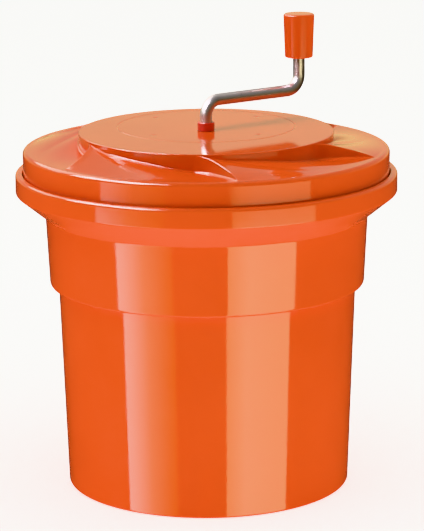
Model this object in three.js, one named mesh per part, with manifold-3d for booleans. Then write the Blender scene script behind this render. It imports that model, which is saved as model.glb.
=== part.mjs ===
// A hand-cranked salad spinner: a stepped tub with a flared rim, a lid with a pinwheel of scooped vanes
// round a raised disc, a bent-rod crank with a turning knob, and inside them a two-stage gear train,
// a drive plate and a slotted basket that stands on a pivot.
// Millimetres, +Z up. The origin is the centre of the face that the tub rests on.

import * as THREE from "three";
import { mergeVertices } from "three/addons/utils/BufferGeometryUtils.js";
import Module from "manifold-3d";

const wasm = await Module();
wasm.setup();

// ---- Driving dimensions -------------------------------------------------------------------------

// Gaps between separate pieces
const seatGap = 0.3; // between faces that rest on each other
const runningGap = 0.3; // round a shaft in its bore
const endFloat = 0.7; // along a shaft, beside each gear
const cutPast = 1; // how far a cut runs past the face that it opens

// Tub
const baseRadius = 123.1;
const tubWall = 3;
const lowerWallHeight = 178;
const lowerWallSpread = 6.2;
const stepWidth = 7.4;
const upperWallHeight = 61;
const upperWallSpread = 3;
const flareWidth = 25.3;
const flareHeight = 20.5;
const bandHeight = 16.5;
const lipWidth = 6.1; // across the top of the rim, outside the lid's skirt
const lidSeatWidth = 4.9;
const footRingWidth = 15;
const basePanelRise = 7; // the underside's middle, above what the tub rests on
const pivotBossRadius = 12;
const pivotBossHeight = 12;

// Lid
const lidWall = 2.5;
const lidFitGap = 0.6; // between the skirt and the tub's lip
const skirtDepth = 15; // below the top of the rim
const skirtShown = 20; // above the top of the rim
const shoulderWidth = 3.3; // the rounded corner at the top of the skirt
const shoulderDrop = 6; // where that corner starts, below its top
const discEdge = 0.5; // the rounding of the disc's edge
const vaneBorder = 3; // flat ring between the vanes and the rounded corner
const discRise = 14.2; // above the shoulder
const discBorder = 11.1; // from the gear housing to the disc's edge
const vaneCount = 6;
const vaneDepth = 15; // the deepest part of a scoop, below the disc
const vaneSweep = 10; // degrees that a ridge turns on its way out
const firstRidge = 29.2; // degrees from +X

// One vane's surface at the disc's edge, anticlockwise from its ridge:
// share of the vane's pitch, and share of the vane's depth.
const vaneFall = [
  [0, 0.04],
  [0.053, 0.22],
  [0.237, 0.433],
  [0.39, 0.52],
  [0.527, 0.6],
  [0.652, 0.7],
  [0.772, 0.853],
  [0.985, 1],
];
const vaneRings = 4;

// Gear housing, moulded under the lid's disc
const housingRadius = 77;
const housingWall = 3;
const shaftBossDepth = 4;
const shaftBossWall = 4; // round the layshaft's sockets
const socketSkin = 1; // left beyond each end of the layshaft's pin
const crankBossWall = 4.4;
const screwSpacingX = 89.4;
const screwSpacingY = 85.4;
const screwBossRadius = 5;
const coverThickness = 3;
const sealHeight = 1.6;
const coverBossDepth = 4.5;
const coverBossWall = 3;
const coverPinRise = 1.2; // of the boss inside the cover, round the layshaft's pin

// Gears
const gearModule = 2;
const wheelTeeth = 30;
const pinionTeeth = 14;
const gearWidth = 8.5;
const layerGap = 2.6; // between the upper and the lower pair of gears
const toothAddendum = 0.8 * gearModule;
const toothDedendum = gearModule;
const toothBacklash = 0.6;
const pressureAngle = THREE.MathUtils.degToRad(25);
const layshaftRadius = 4;
const hubRadius = 9.5;

// Crank
const rodRadius = 5.2;
const crankRadius = 100;
const crankAzimuth = 35; // degrees from +X
const bendRadius = 13;
const armRise = 25.8; // the arm's middle, above the disc
const rodFlatDepth = 1.4; // of the two flats that drive the gear
const bushFitGap = 0.15; // between the rod and its bush
const bushWall = 0.85; // of the sleeve, inside the lid
const bushCollarWall = 1.95;
const bushCollarHeight = 7.4;

// Knob
const knobRise = 28.6; // its lower end, above the arm's middle
const knobLength = 38.4;
const knobTopRadius = 13.6;
const knobLowerRadius = 12.2;
const knobTopWall = 6;

// Retaining clips on the rod
const clipThickness = 1.2;
const clipSpread = 1.6; // beyond the rod
const grooveDepth = 0.9;
const clipFitGap = 0.15; // between a clip and its groove
const clipInset = 2; // from the rod's upper end

// Output shaft and drive plate
const outputShaftRadius = 8;
const outputHexFlats = 12;
const outputBushWall = 2.2;
const outputBushFlange = 2.4;
const outputBushFlangeThickness = 1.3;
const platePanelDrop = 10; // the plate's panel, below the top of its hub
const plateThickness = 2.5;
const plateHubRadius = 15;
const plateLipWidth = 3;
const plateLipHeight = 1.5;
const lugCount = 6;
const lugWidth = 11;
const lugDepth = 8;
const lugFitGap = 0.5;
const lugSetBack = 1; // from the plate's edge
const lugInset = 0.6; // from the basket's inner wall

// Screws, washers and nut
const coverScrewRadius = 1.9;
const coverScrewHeadRadius = 4;
const coverScrewHeadHeight = 2.6;
const coverScrewGrip = 16;
const coverScrewSpare = 2; // of its hole, past its end
const plateScrewRadius = 2.5;
const plateScrewHeadRadius = 5;
const plateScrewHeadHeight = 3.4;
const plateScrewGrip = 13;
const washerThickness = 1.2;
const washerSpread = 4.5; // beyond the shank
const nutFlats = 13;
const nutHeight = 4;

// Basket and its pivot
const sumpDepth = 22; // between the tub's floor and the basket's
const basketWall = 2.4;
const basketClearance = 8; // from the tub's wall, at the bottom
const basketSpread = 5.5;
const basketRimWidth = 6;
const basketRimHeight = 13;
const slotColumns = 20;
const slotRows = 2;
const slotWidth = 9;
const slotMargin = 16; // left whole above and below each row
const floorSlots = 10;
const floorSlotLength = 55;
const floorSlotStart = 12; // from the hub
const pivotShankRadius = 4;
const pivotRadius = 5;
const pivotCollarRadius = 8;
const pivotCollarHeight = 2.7;
const pivotLength = 21;
const pivotBushFlats = 18;
const pivotBushFlangeRadius = 12.5;
const pivotBushFlangeHeight = 2.7;
const basketHubRadius = 15;
const basketHubCap = 3;

// Facets
const bodySegments = 40;
const shaftSegments = 16;
const holeSegments = 12;
const rodSides = 12;
const rodSteps = 36;

// ---- Levels and radii that follow from them -----------------------------------------------------

const floorZ = basePanelRise + tubWall;
const stepZ = lowerWallHeight;
const flareZ = stepZ + upperWallHeight;
const bandZ = flareZ + flareHeight;
const rimZ = bandZ + bandHeight;
const lidSeatZ = rimZ - skirtDepth;
const shoulderZ = rimZ + skirtShown;
const discZ = shoulderZ + discRise;
const discUnderZ = discZ - lidWall;
const shaftBossZ = discUnderZ - shaftBossDepth;

const lowerTopRadius = baseRadius + lowerWallSpread;
const upperBaseRadius = lowerTopRadius + stepWidth;
const upperTopRadius = upperBaseRadius + upperWallSpread;
const rimRadius = upperTopRadius + flareWidth;
const mouthRadius = rimRadius - lipWidth;
const skirtRadius = mouthRadius - lidFitGap;

const pinionPitchRadius = (gearModule * pinionTeeth) / 2;
const wheelPitchRadius = (gearModule * wheelTeeth) / 2;
const shaftDistance = pinionPitchRadius + wheelPitchRadius;
const housingY = shaftDistance / 2;
const discRadius = housingRadius + housingY + discBorder;
const vaneOuterRadius = skirtRadius - shoulderWidth - vaneBorder;

const upperGearZ = shaftBossZ - endFloat - gearWidth;
const lowerGearZ = upperGearZ - layerGap - gearWidth;
const outputBushTopZ = lowerGearZ - seatGap;
const coverTopZ = outputBushTopZ - outputBushFlangeThickness - seatGap;
const coverUnderZ = coverTopZ - coverThickness;
const coverBossZ = coverUnderZ - coverBossDepth;
const housingWallZ = coverTopZ + sealHeight + 2 * seatGap;

const plateHubTopZ = coverBossZ - endFloat;
const plateTopZ = plateHubTopZ - platePanelDrop;
const plateUnderZ = plateTopZ - plateThickness;
const basketRimZ = plateUnderZ - seatGap;
const basketFloorZ = floorZ + sumpDepth;
const pivotBossZ = floorZ + pivotBossHeight;
const pivotCollarTopZ = pivotBossZ + seatGap + pivotCollarHeight;
const pivotTopZ = pivotCollarTopZ + pivotLength;
const pivotBushFlangeZ = pivotCollarTopZ + seatGap + pivotBushFlangeHeight;
const basketHubZ = pivotBushFlangeZ + seatGap;
const basketHubCapZ = pivotTopZ + endFloat;
const basketRadius = baseRadius - tubWall - basketClearance;
const basketTopRadius = basketRadius + basketSpread;
const basketRimRadius = basketTopRadius + basketRimWidth - basketWall;

const armZ = discZ + armRise;
const knobZ = armZ + knobRise;
const rodTopZ = knobZ + knobLength - knobTopWall - endFloat;
const rodEndZ = upperGearZ - layerGap + endFloat;
const crankAngle = THREE.MathUtils.degToRad(crankAzimuth);
const rodFlats = 2 * (rodRadius - rodFlatDepth);
const bushBore = rodRadius + bushFitGap;
const bushSleeveRadius = bushBore + bushWall;
const bushCollarRadius = bushBore + bushCollarWall;
const crankBossBore = bushSleeveRadius + seatGap;

// ---- Materials ----------------------------------------------------------------------------------

const glossyOrange = new THREE.MeshStandardMaterial({ color: 0xe8531f, roughness: 0.22, metalness: 0 });
const deepOrange = new THREE.MeshStandardMaterial({ color: 0xd23a14, roughness: 0.35, metalness: 0 });
const naturalWhite = new THREE.MeshStandardMaterial({ color: 0xf0efe9, roughness: 0.45, metalness: 0 });
const gearWhite = new THREE.MeshStandardMaterial({ color: 0xe4e2d8, roughness: 0.4, metalness: 0 });
const stainless = new THREE.MeshStandardMaterial({ color: 0xbdb8b2, roughness: 0.3, metalness: 1 });
const blackRubber = new THREE.MeshStandardMaterial({ color: 0x1d1d1d, roughness: 0.8, metalness: 0 });

// ---- Shapes -------------------------------------------------------------------------------------

// The points of an outline of [x, y] corners. A third number rounds that corner by about that radius.
function outline(corners, arcSteps = 2) {
  const points = [];
  corners.forEach(([x, y, round = 0], i) => {
    const corner = new THREE.Vector2(x, y);
    if (!round) {
      points.push(corner);
      return;
    }
    const [beforeX, beforeY] = corners.at(i - 1);
    const [afterX, afterY] = corners[(i + 1) % corners.length];
    const back = new THREE.Vector2(beforeX, beforeY).sub(corner).normalize();
    const on = new THREE.Vector2(afterX, afterY).sub(corner).normalize();
    const setBack = round / Math.tan(Math.acos(back.dot(on)) / 2);
    const start = corner.clone().addScaledVector(back, setBack);
    const end = corner.clone().addScaledVector(on, setBack);
    points.push(...new THREE.QuadraticBezierCurve(start, corner, end).getPoints(arcSteps));
  });
  return points;
}

// Corners of (radius, height), anticlockwise, turned about the Z axis.
function turned(corners, segments = shaftSegments) {
  const points = outline(corners);
  const onAxis = points[0].x === 0 && points.at(-1).x === 0;
  if (!onAxis) points.push(points[0].clone());
  return new THREE.LatheGeometry(points, segments).rotateX(Math.PI / 2);
}

function ring(innerRadius, outerRadius, bottom, top, segments = shaftSegments) {
  const corners = [
    [innerRadius, bottom],
    [outerRadius, bottom],
    [outerRadius, top],
    [innerRadius, top],
  ];
  return turned(corners, segments);
}

function post(radius, bottom, top, segments = shaftSegments) {
  const corners = [
    [0, bottom],
    [radius, bottom],
    [radius, top],
    [0, top],
  ];
  return turned(corners, segments);
}

// A six-sided bar, measured across its flats.
function hexBar(flats, bottom, top) {
  return post(flats / Math.sqrt(3), bottom, top, 6);
}

// A block from bottom to top, its length along X, from startX outwards, turned about Z by angle.
function spoke(startX, length, width, bottom, top, angle) {
  return new THREE.BoxGeometry(length, width, top - bottom)
    .translate(startX + length / 2, 0, (bottom + top) / 2)
    .rotateZ(angle);
}

function toSolid(geometry) {
  const bare = geometry.clone();
  bare.deleteAttribute("normal");
  bare.deleteAttribute("uv");
  const merged = mergeVertices(bare, 1e-4);
  return new wasm.Manifold(
    new wasm.Mesh({
      numProp: 3,
      vertProperties: merged.attributes.position.array,
      triVerts: new Uint32Array(merged.index.array),
    }),
  );
}

function toGeometry(solid) {
  const { vertProperties, triVerts } = solid.getMesh();
  return new THREE.BufferGeometry()
    .setAttribute("position", new THREE.BufferAttribute(vertProperties, 3))
    .setIndex(new THREE.BufferAttribute(triVerts, 1));
}

// The first geometry joined with the rest of joins, then cut by all of cuts.
function shaped(joins, cuts) {
  const [first, ...others] = joins.map(toSolid);
  const joined = others.reduce((whole, more) => whole.add(more), first);
  return toGeometry(cuts.map(toSolid).reduce((whole, cut) => whole.subtract(cut), joined));
}

function named(name, geometry, material) {
  const mesh = new THREE.Mesh(geometry, material);
  mesh.name = name;
  return mesh;
}

function around(count, make) {
  return Array.from({ length: count }, (_, i) => make((2 * Math.PI * i) / count));
}

// The outline of a spur gear with stub involute teeth, one of them centred on firstTooth.
function gearShape(teeth, firstTooth) {
  const pitchRadius = (gearModule * teeth) / 2;
  const involute = (angle) => Math.tan(angle) - angle;
  const flankStart = pitchRadius * Math.cos(pressureAngle);
  const halfTooth = (Math.PI * gearModule) / 2 / 2 / pitchRadius - toothBacklash / 4 / pitchRadius;
  const halfAngleAt = (radius) =>
    halfTooth + involute(pressureAngle) - involute(Math.acos(Math.min(1, flankStart / radius)));
  const flank = [pitchRadius - toothDedendum, pitchRadius, pitchRadius + toothAddendum];
  const shape = new THREE.Shape();
  const points = [];
  for (let tooth = 0; tooth < teeth; tooth++) {
    const middle = firstTooth + (2 * Math.PI * tooth) / teeth;
    const at = (radius, angle) => new THREE.Vector2(radius * Math.cos(angle), radius * Math.sin(angle));
    flank.forEach((radius) => points.push(at(radius, middle - halfAngleAt(radius))));
    [...flank].reverse().forEach((radius) => points.push(at(radius, middle + halfAngleAt(radius))));
  }
  return shape.setFromPoints(points);
}

function gear(teeth, firstTooth, bottom) {
  const settings = { depth: gearWidth, bevelEnabled: false };
  return new THREE.ExtrudeGeometry(gearShape(teeth, firstTooth), settings).translate(0, 0, bottom);
}

// ---- Tub ----------------------------------------------------------------------------------------

function tub() {
  const flareSlope = flareHeight / flareWidth;
  const flareOffset = tubWall * Math.hypot(1, flareSlope);
  const seatInnerRadius = mouthRadius - lidSeatWidth;
  const seatFootZ = flareZ + (seatInnerRadius - upperTopRadius) * flareSlope + flareOffset;
  const shankBore = pivotShankRadius + runningGap;
  const corners = [
    [shankBore, basePanelRise],
    [baseRadius - footRingWidth, basePanelRise],
    [baseRadius - footRingWidth, 0],
    [baseRadius, 0, 2],
    [lowerTopRadius, stepZ, 0.8],
    [upperBaseRadius, stepZ, 2.5],
    [upperTopRadius, flareZ, 2],
    [rimRadius, bandZ, 1.5],
    [rimRadius, rimZ, 2.5],
    [mouthRadius, rimZ],
    [mouthRadius, lidSeatZ],
    [seatInnerRadius, lidSeatZ],
    [seatInnerRadius, seatFootZ],
    [upperTopRadius - tubWall, flareZ + flareOffset / 2],
    [upperBaseRadius - tubWall, stepZ + tubWall],
    [lowerTopRadius - tubWall, stepZ + tubWall, 2.5],
    [baseRadius - tubWall, floorZ, 4],
    [pivotBossRadius, floorZ],
    [pivotBossRadius, pivotBossZ],
    [shankBore, pivotBossZ],
  ];
  return named("tub", turned(corners, bodySegments), glossyOrange);
}

// ---- Pivot: a shouldered pin bolted through the tub's floor -------------------------------------

function pivot() {
  const washerTop = basePanelRise - seatGap;
  const washerBottom = washerTop - washerThickness;
  const nutTop = washerBottom - seatGap;
  const nutBottom = nutTop - nutHeight;
  const washerBore = pivotShankRadius + runningGap;
  const pin = turned([
    [0, nutBottom],
    [pivotShankRadius, nutBottom],
    [pivotShankRadius, pivotBossZ + seatGap],
    [pivotCollarRadius, pivotBossZ + seatGap],
    [pivotCollarRadius, pivotCollarTopZ],
    [pivotRadius, pivotCollarTopZ],
    [pivotRadius, pivotTopZ, 2],
    [0, pivotTopZ],
  ]);
  const washer = ring(washerBore, pivotShankRadius + washerSpread, washerBottom, washerTop);
  const nutBore = post(washerBore, nutBottom - cutPast, nutTop + cutPast);
  const nut = shaped([hexBar(nutFlats, nutBottom, nutTop)], [nutBore]);
  return [
    named("pivot_pin", pin, stainless),
    named("pivot_pin_washer", washer, blackRubber),
    named("pivot_pin_nut", nut, stainless),
  ];
}

// A six-sided bush that turns on the pin and keys into the basket's hub.
function pivotBush() {
  const flange = post(pivotBushFlangeRadius, pivotCollarTopZ + seatGap, pivotBushFlangeZ);
  const key = hexBar(pivotBushFlats, pivotCollarTopZ + seatGap, pivotTopZ - endFloat);
  const bore = post(pivotRadius + runningGap, pivotCollarTopZ - cutPast, pivotTopZ + cutPast);
  return named("pivot_bush", shaped([flange, key], [bore]), gearWhite);
}

// ---- Basket -------------------------------------------------------------------------------------

const lugTurn = Math.PI / slotColumns; // puts each lug midway between two columns of slots

function basket() {
  const rimBottom = basketRimZ - basketRimHeight;
  const innerRadius = basketRadius - basketWall;
  const innerTopRadius = basketTopRadius - basketWall;
  const body = turned(
    [
      [0, basketHubZ],
      [basketHubRadius, basketHubZ],
      [basketHubRadius, basketFloorZ],
      [basketRadius, basketFloorZ, 4],
      [basketTopRadius, rimBottom],
      [basketRimRadius, rimBottom + (basketRimRadius - basketTopRadius)],
      [basketRimRadius, basketRimZ],
      [innerTopRadius, basketRimZ],
      [innerRadius, basketFloorZ + basketWall, 3],
      [basketHubRadius + basketWall, basketFloorZ + basketWall],
      [basketHubRadius, basketHubCapZ + basketHubCap, 3],
      [0, basketHubCapZ + basketHubCap],
    ],
    bodySegments,
  );
  const socket = hexBar(pivotBushFlats + 2 * runningGap, basketHubZ - cutPast, basketHubCapZ);

  const rowPitch = (rimBottom - basketFloorZ - slotMargin) / slotRows;
  const cutStart = innerRadius - basketWall;
  const cutLength = basketRimRadius + cutPast - cutStart; // from inside the wall to past the rim
  const wallSlots = [];
  for (let row = 0; row < slotRows; row++) {
    const bottom = basketFloorZ + slotMargin + row * rowPitch;
    const cut = (angle) =>
      spoke(cutStart, cutLength, slotWidth, bottom, bottom + rowPitch - slotMargin, angle);
    wallSlots.push(...around(slotColumns, cut));
  }
  const floorStart = basketHubRadius + basketWall + floorSlotStart;
  const floorBottom = basketFloorZ - cutPast;
  const floorTop = basketFloorZ + basketWall + cutPast;
  const floorCut = (angle) =>
    spoke(floorStart, floorSlotLength, slotWidth, floorBottom, floorTop, angle);
  const notchWidth = lugWidth + 2 * lugFitGap;
  const notchBottom = basketRimZ - lugDepth - lugFitGap;
  const notch = (angle) =>
    spoke(cutStart, cutLength, notchWidth, notchBottom, basketRimZ + cutPast, angle + lugTurn);
  const cuts = [socket, ...wallSlots, ...around(floorSlots, floorCut), ...around(lugCount, notch)];
  return named("basket", shaped([body], cuts), naturalWhite);
}

// ---- Lid ----------------------------------------------------------------------------------------

// The lid's shell: a turned profile whose vane rings are then lowered, column by column, into scoops.
function lidShell() {
  const skirtInner = skirtRadius - lidWall;
  const ringRadius = (t) => THREE.MathUtils.lerp(discRadius, vaneOuterRadius, t);
  const across = Array.from({ length: vaneRings + 1 }, (_, i) => i / vaneRings);

  // Each profile point: radius, height, how far out across the vanes (null if the vanes don't move it),
  // and whether it is on the underside.
  const profile = [
    [skirtRadius, lidSeatZ + seatGap],
    [skirtRadius - 0.1 * shoulderWidth, shoulderZ - shoulderDrop],
    [skirtRadius - 0.3 * shoulderWidth, shoulderZ - 0.4 * shoulderDrop],
    [skirtRadius - shoulderWidth, shoulderZ],
    ...across.toReversed().map((t) => [ringRadius(t), discZ, t, false]),
    [discRadius, discZ - discEdge / 2],
    [discRadius - discEdge, discZ],
    [crankBossBore, discZ],
    [crankBossBore, discUnderZ],
    [discRadius - lidWall, discUnderZ],
    [discRadius - lidWall, discUnderZ, 0, true],
    ...across.map((t) => [ringRadius(t), discZ, t, true]),
    [skirtInner - shoulderWidth / 2, shoulderZ - lidWall],
    [skirtInner, shoulderZ - lidWall - shoulderWidth / 2],
    [skirtInner, lidSeatZ + seatGap],
  ];
  const closed = [...profile, profile[0]];
  const points = closed.map(([radius, height]) => new THREE.Vector2(radius, height));
  const stations = vaneFall.length;
  const columns = vaneCount * stations;
  const shell = new THREE.LatheGeometry(points, columns).rotateX(Math.PI / 2);

  const pitch = (2 * Math.PI) / vaneCount;
  const position = shell.attributes.position;
  for (let column = 0; column <= columns; column++) {
    const [share, depth] = vaneFall[column % stations];
    const vane = Math.floor(column / stations);
    closed.forEach(([radius, height, t, under], j) => {
      const level = discZ - depth * vaneDepth;
      const onVane = t !== undefined;
      const out = onVane ? t : radius > discRadius ? 1 : 0;
      const sweep = THREE.MathUtils.degToRad(firstRidge + vaneSweep * out);
      const wallTurn = under ? lidWall / radius : 0;
      const angle = sweep + pitch * (vane + share) + wallTurn;
      const scoop = THREE.MathUtils.lerp(level, shoulderZ, out) - (under ? lidWall : 0);
      const z = onVane ? scoop : height;
      position.setXYZ(column * closed.length + j, radius * Math.cos(angle), radius * Math.sin(angle), z);
    });
  }
  return shell;
}

function screwPlaces() {
  const x = screwSpacingX / 2;
  const y = screwSpacingY / 2;
  return [
    [-x, housingY - y],
    [x, housingY - y],
    [x, housingY + y],
    [-x, housingY + y],
  ];
}

function lid() {
  const sunk = discUnderZ + lidWall / 2; // bosses reach into the disc, so that they join it
  const housing = ring(housingRadius - housingWall, housingRadius, housingWallZ, sunk, bodySegments);
  const crankBoss = post(crankBossBore + crankBossWall, shaftBossZ, sunk);
  const layshaftBoss = post(layshaftRadius + shaftBossWall, shaftBossZ, sunk).translate(0, shaftDistance, 0);
  const screwBosses = screwPlaces().map(([x, y]) =>
    post(screwBossRadius, coverTopZ + seatGap, sunk).translate(x, y, 0),
  );
  const screwBore = coverScrewRadius + runningGap;
  const crankBore = post(crankBossBore, shaftBossZ - cutPast, discZ + cutPast);
  const pinSocket = post(layshaftRadius + runningGap, shaftBossZ - cutPast, discUnderZ - socketSkin);
  const screwHoles = screwPlaces().map(([x, y]) =>
    post(screwBore, coverTopZ, coverTopZ + coverScrewGrip, holeSegments).translate(x, y, 0),
  );
  const joins = [lidShell(), housing.translate(0, housingY, 0), crankBoss, layshaftBoss, ...screwBosses];
  const cuts = [crankBore, pinSocket.translate(0, shaftDistance, 0), ...screwHoles];
  return named("lid", shaped(joins, cuts), glossyOrange);
}

// The crank's bearing: a sleeve through the disc, with a collar that shows above it.
function crankBushing() {
  const geometry = turned([
    [bushBore, shaftBossZ],
    [bushSleeveRadius, shaftBossZ],
    [bushSleeveRadius, discZ + seatGap],
    [bushCollarRadius, discZ + seatGap],
    [bushCollarRadius, discZ + bushCollarHeight, 0.7],
    [bushBore, discZ + bushCollarHeight],
  ]);
  return named("crank_bushing", geometry, deepOrange);
}

function gearCover() {
  const outputBore = outputShaftRadius + runningGap + outputBushWall + seatGap;
  const plate = post(housingRadius, coverUnderZ, coverTopZ, bodySegments).translate(0, housingY, 0);
  const outputBoss = post(outputBore + coverBossWall, coverBossZ, coverTopZ);
  const pinBossZ = coverTopZ + coverPinRise;
  const pinBoss = post(layshaftRadius + shaftBossWall, coverUnderZ, pinBossZ).translate(0, shaftDistance, 0);
  const bore = post(outputBore, coverBossZ - cutPast, coverTopZ + cutPast);
  const pinSocket = post(layshaftRadius + runningGap, coverUnderZ + socketSkin, pinBossZ + cutPast);
  const screwBore = coverScrewRadius + runningGap;
  const screwHoles = screwPlaces().map(([x, y]) =>
    post(screwBore, coverUnderZ - cutPast, coverTopZ + cutPast, holeSegments).translate(x, y, 0),
  );
  const cuts = [bore, pinSocket.translate(0, shaftDistance, 0), ...screwHoles];
  return named("gear_cover", shaped([plate, outputBoss, pinBoss], cuts), naturalWhite);
}

function gearCoverSeal() {
  const bottom = coverTopZ + seatGap;
  const seal = ring(housingRadius - housingWall, housingRadius, bottom, bottom + sealHeight, bodySegments);
  const mesh = named("gear_cover_seal", seal, blackRubber);
  mesh.position.y = housingY;
  return mesh;
}

function gearCoverScrews() {
  const headTop = coverUnderZ - seatGap;
  const headBottom = headTop - coverScrewHeadHeight;
  const tip = coverTopZ + coverScrewGrip - coverScrewSpare;
  const screw = turned(
    [
      [0, headBottom],
      [coverScrewHeadRadius, headBottom, 1],
      [coverScrewHeadRadius, headTop],
      [coverScrewRadius, headTop],
      [coverScrewRadius, tip],
      [0, tip],
    ],
    holeSegments,
  );
  return screwPlaces().map(([x, y], i) => {
    const mesh = named(`gear_cover_screw_${i + 1}`, screw, stainless);
    mesh.position.set(x, y, 0);
    return mesh;
  });
}

function layshaftPin() {
  const endGap = socketSkin + seatGap;
  const geometry = post(layshaftRadius, coverUnderZ + endGap, discUnderZ - endGap);
  const mesh = named("layshaft_pin", geometry, stainless);
  mesh.position.y = shaftDistance;
  return mesh;
}

function outputBush() {
  const bore = outputShaftRadius + runningGap;
  const sleeve = bore + outputBushWall;
  const flangeZ = coverTopZ + seatGap;
  const geometry = turned([
    [bore, coverBossZ],
    [sleeve, coverBossZ],
    [sleeve, flangeZ],
    [sleeve + outputBushFlange, flangeZ],
    [sleeve + outputBushFlange, outputBushTopZ],
    [bore, outputBushTopZ],
  ]);
  return named("output_bush", geometry, gearWhite);
}

// ---- Gears --------------------------------------------------------------------------------------

const towardsLayshaft = Math.PI / 2;
const towardsCrank = -Math.PI / 2;
const halfPinionPitch = Math.PI / pinionTeeth;

// A bar with two flats, turned to lie with the crank's arm, which drives the gear that it fits.
function flattedBar(radius, flats, bottom, top) {
  const round = toSolid(post(radius, bottom, top));
  const block = toSolid(spoke(-2 * radius, 4 * radius, flats, bottom - cutPast, top + cutPast, 0));
  return toGeometry(round.intersect(block));
}

function crankGear() {
  const boreFlats = rodFlats + 2 * runningGap;
  const bore = flattedBar(rodRadius + runningGap, boreFlats, upperGearZ - cutPast, shaftBossZ);
  const wheel = gear(wheelTeeth, towardsLayshaft, upperGearZ);
  return named("crank_gear", shaped([wheel], [bore.rotateZ(crankAngle)]), gearWhite);
}

// The layshaft's two gears are one moulding: a pinion above, a wheel below.
function compoundGear() {
  const pinion = gear(pinionTeeth, towardsCrank + halfPinionPitch, upperGearZ);
  const wheel = gear(wheelTeeth, towardsCrank, lowerGearZ);
  const hub = post(hubRadius, lowerGearZ + gearWidth / 2, upperGearZ + gearWidth / 2);
  const bore = post(layshaftRadius + runningGap, lowerGearZ - cutPast, shaftBossZ);
  const mesh = named("compound_gear", shaped([wheel, hub, pinion], [bore]), gearWhite);
  mesh.position.y = shaftDistance;
  return mesh;
}

// The driven pinion and its shaft, which ends in a hexagon for the drive plate.
function outputPinion() {
  const shaftEndZ = plateHubTopZ - seatGap + endFloat;
  const gearMiddleZ = lowerGearZ + gearWidth / 2; // the shaft and the pinion overlap, so that they join
  const shaft = post(outputShaftRadius, shaftEndZ, gearMiddleZ);
  const hexEnd = hexBar(outputHexFlats, plateUnderZ + endFloat, gearMiddleZ);
  const pinion = gear(pinionTeeth, towardsLayshaft + halfPinionPitch, lowerGearZ);
  const holeTopZ = plateUnderZ + plateScrewGrip + endFloat;
  const thread = post(plateScrewRadius + runningGap, plateUnderZ, holeTopZ, holeSegments);
  return named("output_pinion", shaped([pinion, shaft, hexEnd], [thread]), gearWhite);
}

// ---- Drive plate: closes the basket and turns it by the lugs round its edge ---------------------

function drivePlate() {
  const plate = turned(
    [
      [0, plateUnderZ],
      [basketRimRadius, plateUnderZ],
      [basketRimRadius, plateTopZ + plateLipHeight, 1],
      [basketRimRadius - plateLipWidth, plateTopZ + plateLipHeight],
      [basketRimRadius - plateLipWidth - plateLipHeight, plateTopZ],
      [plateHubRadius, plateTopZ, 3],
      [plateHubRadius, plateHubTopZ],
      [0, plateHubTopZ],
    ],
    bodySegments,
  );
  const lugStart = basketTopRadius - basketWall + lugInset;
  const lugLength = basketRimRadius - lugSetBack - lugStart;
  const lugTop = plateUnderZ + plateThickness / 2; // reaches into the panel, so that it joins it
  const lug = (angle) =>
    spoke(lugStart, lugLength, lugWidth, basketRimZ - lugDepth, lugTop, angle + lugTurn);
  const bore = hexBar(outputHexFlats + 2 * runningGap, plateUnderZ - cutPast, plateHubTopZ + cutPast);
  return named("drive_plate", shaped([plate, ...around(lugCount, lug)], [bore]), naturalWhite);
}

function drivePlateFixings() {
  const washerTop = plateUnderZ - seatGap;
  const washerBottom = washerTop - washerThickness;
  const headTop = washerBottom - seatGap;
  const headBottom = headTop - plateScrewHeadHeight;
  const washerRadius = outputHexFlats / 2 + washerSpread;
  const washer = ring(plateScrewRadius + runningGap, washerRadius, washerBottom, washerTop);
  const screw = turned([
    [0, headBottom],
    [plateScrewHeadRadius, headBottom, 1.2],
    [plateScrewHeadRadius, headTop],
    [plateScrewRadius, headTop],
    [plateScrewRadius, plateUnderZ + plateScrewGrip],
    [0, plateUnderZ + plateScrewGrip],
  ]);
  return [
    named("drive_plate_washer", washer, stainless),
    named("drive_plate_screw", screw, stainless),
  ];
}

// ---- Crank --------------------------------------------------------------------------------------

// The middle line of the rod, in the XZ plane: up through the lid, out along the arm, up into the knob.
class RodLine extends THREE.CurvePath {
  constructor() {
    super();
    const quarter = (centreX, centreZ, from, to) => {
      const arc = new THREE.Curve();
      arc.getPoint = (t) => {
        const angle = THREE.MathUtils.lerp(from, to, t);
        const x = centreX + bendRadius * Math.cos(angle);
        return new THREE.Vector3(x, 0, centreZ + bendRadius * Math.sin(angle));
      };
      return arc;
    };
    const point = (x, z) => new THREE.Vector3(x, 0, z);
    const straight = (fromX, fromZ, toX, toZ) =>
      new THREE.LineCurve3(point(fromX, fromZ), point(toX, toZ));
    this.add(straight(0, rodEndZ, 0, armZ - bendRadius));
    this.add(quarter(bendRadius, armZ - bendRadius, Math.PI, Math.PI / 2));
    this.add(straight(bendRadius, armZ, crankRadius - bendRadius, armZ));
    this.add(quarter(crankRadius - bendRadius, armZ + bendRadius, -Math.PI / 2, 0));
    this.add(straight(crankRadius, armZ + bendRadius, crankRadius, rodTopZ));
  }
}

const gearClipZ = upperGearZ - seatGap - clipThickness;
const knobClipZ = rodTopZ - clipInset - clipThickness;

function groove(clipZ) {
  const bottom = clipZ - seatGap / 2;
  const top = clipZ + clipThickness + seatGap / 2;
  return ring(rodRadius - grooveDepth, rodRadius + cutPast, bottom, top);
}

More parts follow.
